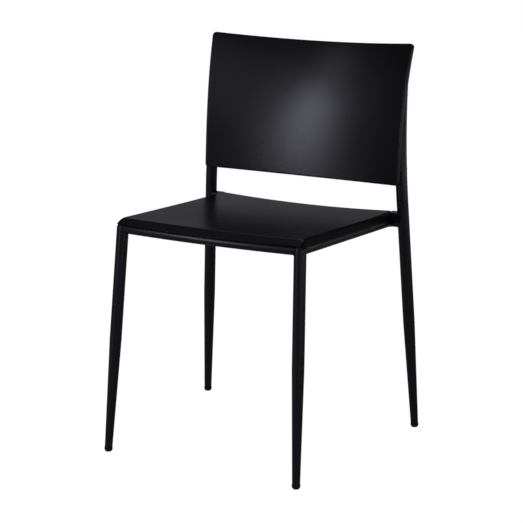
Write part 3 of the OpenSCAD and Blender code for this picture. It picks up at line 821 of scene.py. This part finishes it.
def white_to_camera(nodes, links, plain, white, share):
    """Mixes a shader with a white one that only camera rays see, by a share."""
    ray = nodes.new("ShaderNodeLightPath").outputs["Is Camera Ray"]
    return mix(nodes, links, times(nodes, links, ray, share), plain, white)


white_share = 0.88
print("the camera sees the floor's own paint by", round(1 - white_share, 2))

# %% [markdown]
# ## The floor
# The floor is a plain matt sheet. It keeps an eighth of its own paint for the camera, so the
# chair's shadow stays. Under the seat the side rail mirrors the floor far off towards +X, and
# its highlight comes from there. In a studio that is the lit sweep of the backdrop. A lamp there
# would light the chair as well, so here it is a glow that only glossy rays see.

# %% The floor
floor_half, floor_grey, floor_rough, white_level = 30, (0.6, 0.6, 0.6, 1), 0.9, 1.13
far_level, far_way, far_from, far_full, near_level = 1.15, (0.95, 0.3, 0), 3.4, 6, 0.03
floor_bm = bmesh.new()
bmesh.ops.create_grid(floor_bm, x_segments=1, y_segments=1, size=floor_half)
floor_mesh = bpy.data.meshes.new("floor")
floor_bm.to_mesh(floor_mesh)
floor_bm.free()
floor = bpy.data.objects.new("floor", floor_mesh)
bpy.context.scene.collection.objects.link(floor)
paint = bpy.data.materials.new("floor_paint")
paint.use_nodes = True
nodes, links = paint.node_tree.nodes, paint.node_tree.links
matt = nodes["Principled BSDF"]
matt.inputs["Base Color"].default_value = floor_grey
matt.inputs["Roughness"].default_value = floor_rough
white, far = nodes.new("ShaderNodeEmission"), nodes.new("ShaderNodeEmission")
white.inputs["Strength"].default_value = white_level
far.inputs["Strength"].default_value = far_level
where, reach = nodes.new("ShaderNodeTexCoord"), nodes.new("ShaderNodeVectorMath")
reach.operation = "DOT_PRODUCT"
reach.inputs[1].default_value = far_way
links.new(where.outputs["Object"], reach.inputs[0])
lit = nodes.new("ShaderNodeMapRange")
for socket, number in (("From Min", far_from), ("From Max", far_full), ("To Min", near_level)):
    lit.inputs[socket].default_value = number
links.new(reach.outputs["Value"], lit.inputs["Value"])
glossy = nodes.new("ShaderNodeLightPath").outputs["Is Glossy Ray"]
lit_share = times(nodes, links, lit.outputs["Result"], glossy)
plain = white_to_camera(nodes, links, matt, white, white_share)
both = mix(nodes, links, lit_share, plain, far)
links.new(both.outputs[0], nodes["Material Output"].inputs["Surface"])
floor_mesh.materials.append(paint)
print("floor:", 2 * floor_half, "m square, lit from", far_from, "m off")

# %% [markdown]
# ## The sky
# A sky that is bright all over would turn black plastic grey, and a black one would leave the
# chair without form. This one is dim, with soft patches where single parts mirror it, as a
# photographer sets up cards. Lamps could do the same, but they would also light the floor and
# draw hard-edged reflections.

# %% The sky
sky_colour, sky_level = (0.86, 0.87, 1, 1), 0.045
# Direction; the cosines to it where a patch starts and where it is full; strength
patches = {
    "the seat": ((-0.444, 0.77, 0.46), 0.915, 0.988, 0.2),
    "the uprights, by the camera": ((0.47, -0.81, 0.35), 0.76, 0.96, 0.16),
    "the uprights, on the right": ((0.93, -0.36, 0.09), 0.86, 0.98, 0.36),
    "the front border": ((-0.5, -0.3, 0.81), 0.82, 0.97, 0.09),
    "the side border": ((0.33, 0.85, 0.41), 0.87, 0.98, 0.02),
}
world = bpy.data.worlds.new("studio")
bpy.context.scene.world = world
world.use_nodes = True
nodes, links = world.node_tree.nodes, world.node_tree.links
dim = nodes["Background"]
dim.inputs["Color"].default_value = sky_colour
way = nodes.new("ShaderNodeTexCoord")
total = nodes.new("ShaderNodeValue")
total.outputs[0].default_value = sky_level


def sky_patch(centre, low, high, strength):
    """A soft bright patch of sky round a direction, from a strength of zero at its rim."""
    facing = nodes.new("ShaderNodeVectorMath")
    facing.operation = "DOT_PRODUCT"
    facing.inputs[1].default_value = centre
    links.new(way.outputs["Generated"], facing.inputs[0])
    step = nodes.new("ShaderNodeMapRange")
    step.interpolation_type = "SMOOTHSTEP"
    for socket, number in zip(("From Min", "From Max", "To Max"), (low, high, strength)):
        step.inputs[socket].default_value = number
    links.new(facing.outputs["Value"], step.inputs["Value"])
    return step.outputs["Result"]


for patch in patches.values():
    so_far, total = total, nodes.new("ShaderNodeMath")
    links.new(so_far.outputs[0], total.inputs[0])
    links.new(sky_patch(*patch), total.inputs[1])
links.new(total.outputs[0], dim.inputs["Strength"])
white = nodes.new("ShaderNodeBackground")
white.inputs["Color"].default_value = (1, 1, 1, 1)
seen = white_to_camera(nodes, links, dim, white, 1.0)
links.new(seen.outputs[0], nodes["World Output"].inputs["Surface"])
print("patches of sky for:", list(patches))

# %% [markdown]
# ## The lamps
# A tall narrow lamp stands in front, where the curved back mirrors it to the camera as a wide
# soft glow and the front rail mirrors it as a thin line. A small one above it carries the glow
# further up. Two large weak lamps keep the other sides from going quite black. All are flat
# area lamps, because the size of a lamp sets how soft its reflection is.

# %% The lamps
lamp_colour, glow_at, strip_up = (0.93, 0.94, 1), (0, 0.2, 0.63), (-0.24, 0.35, 1.13)


def soft_lamp(name, at, target, size, power, up=(0, 0, 1)):
    """A flat lamp of a size in metres that faces a point, with its height along a direction."""
    light = bpy.data.lights.new(name, "AREA")
    light.shape, light.energy, light.color = "RECTANGLE", power, lamp_colour
    light.size, light.size_y = size
    lamp = bpy.data.objects.new(name, light)
    bpy.context.scene.collection.objects.link(lamp)
    z = (Vector(at) - Vector(target)).normalized()
    x = Vector(up).cross(z).normalized()
    turn = Matrix((x, z.cross(x), z)).transposed().to_4x4()
    lamp.matrix_world = Matrix.Translation(at) @ turn
    lamp.visible_camera = False
    print(name, power, "W,", size, "m")


soft_lamp("strip_lamp", (-1.39, -2.41, 0.97), glow_at, size=(0.24, 1.05), power=7.6, up=strip_up)
soft_lamp("strip_top_lamp", (-1.75, -2.15, 1.85), glow_at, size=(0.16, 0.6), power=0.9, up=strip_up)
soft_lamp("fill_lamp", (-0.3, -2.9, 1.5), (0, 0.1, 0.5), size=(1.8, 1.4), power=2.4)
soft_lamp("top_lamp", (-0.6, 1.2, 2.9), (0, 0, 0.4), size=(1.6, 1.6), power=4)

# %% [markdown]
# ## Camera and colour
# The camera stands where the photograph's did: a long lens, 29.9 degrees round from the front
# towards +X and looking 13.4 degrees down. Its place was worked out from points of the chair
# that come in pairs, which is surer than moving it by eye. The Standard view shows each finish
# about as it is written.

# %% The camera
camera_at, tilt, turn_round = (1.7349, -3.01505, 1.1943), 76.638, 29.872
cam = bpy.data.cameras.new("camera")
cam.lens, cam.sensor_width, cam.clip_end = 121.8, 36, 100
camera = bpy.data.objects.new("camera", cam)
bpy.context.scene.collection.objects.link(camera)
camera.location = camera_at
camera.rotation_euler = (math.radians(tilt), 0, math.radians(turn_round))
bpy.context.scene.camera = camera
bpy.context.scene.view_settings.view_transform = "Standard"
far_off = round(Vector(camera_at).length, 2)
print("camera", far_off, "m from the chair, with a lens of", round(cam.lens, 1), "mm")
